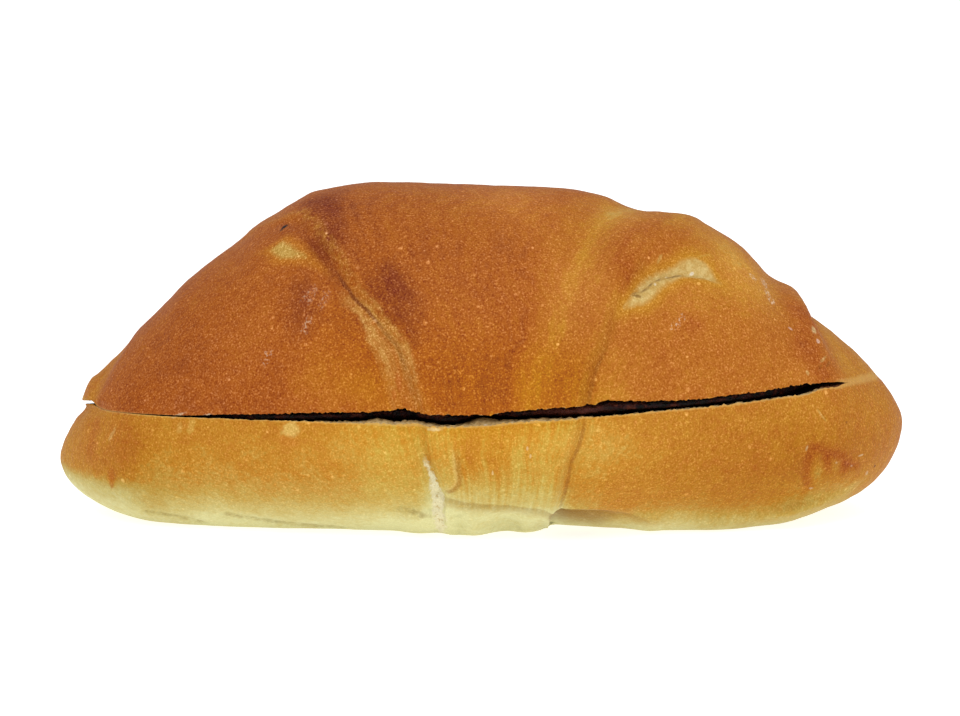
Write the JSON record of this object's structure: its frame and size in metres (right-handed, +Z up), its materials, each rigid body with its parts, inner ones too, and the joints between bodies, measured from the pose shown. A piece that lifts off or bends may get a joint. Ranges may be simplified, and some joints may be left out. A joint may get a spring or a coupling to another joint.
{
  "type": "salt bread roll",
  "caption": "Golden brown rolled bread with a spiral of dough wraps and blunt ends, split along the front by a knife and spread with dark sweet bean paste.",
  "frame": {"origin": "on the floor, under the middle of the roll's box", "axes": "+X along the roll, -Y towards the mouth of the cut, +Z up from the base that the roll rests on"},
  "size_m": [0.15, 0.072, 0.0589],
  "materials": {
    "crust": "baked crust, browned on top and pale below, soft sheen",
    "bean_paste": "moist dark paste"
  },
  "bodies": {
    "root": {"bread_roll": "crust", "bean_paste": "bean_paste"}
  },
  "joints": []
}
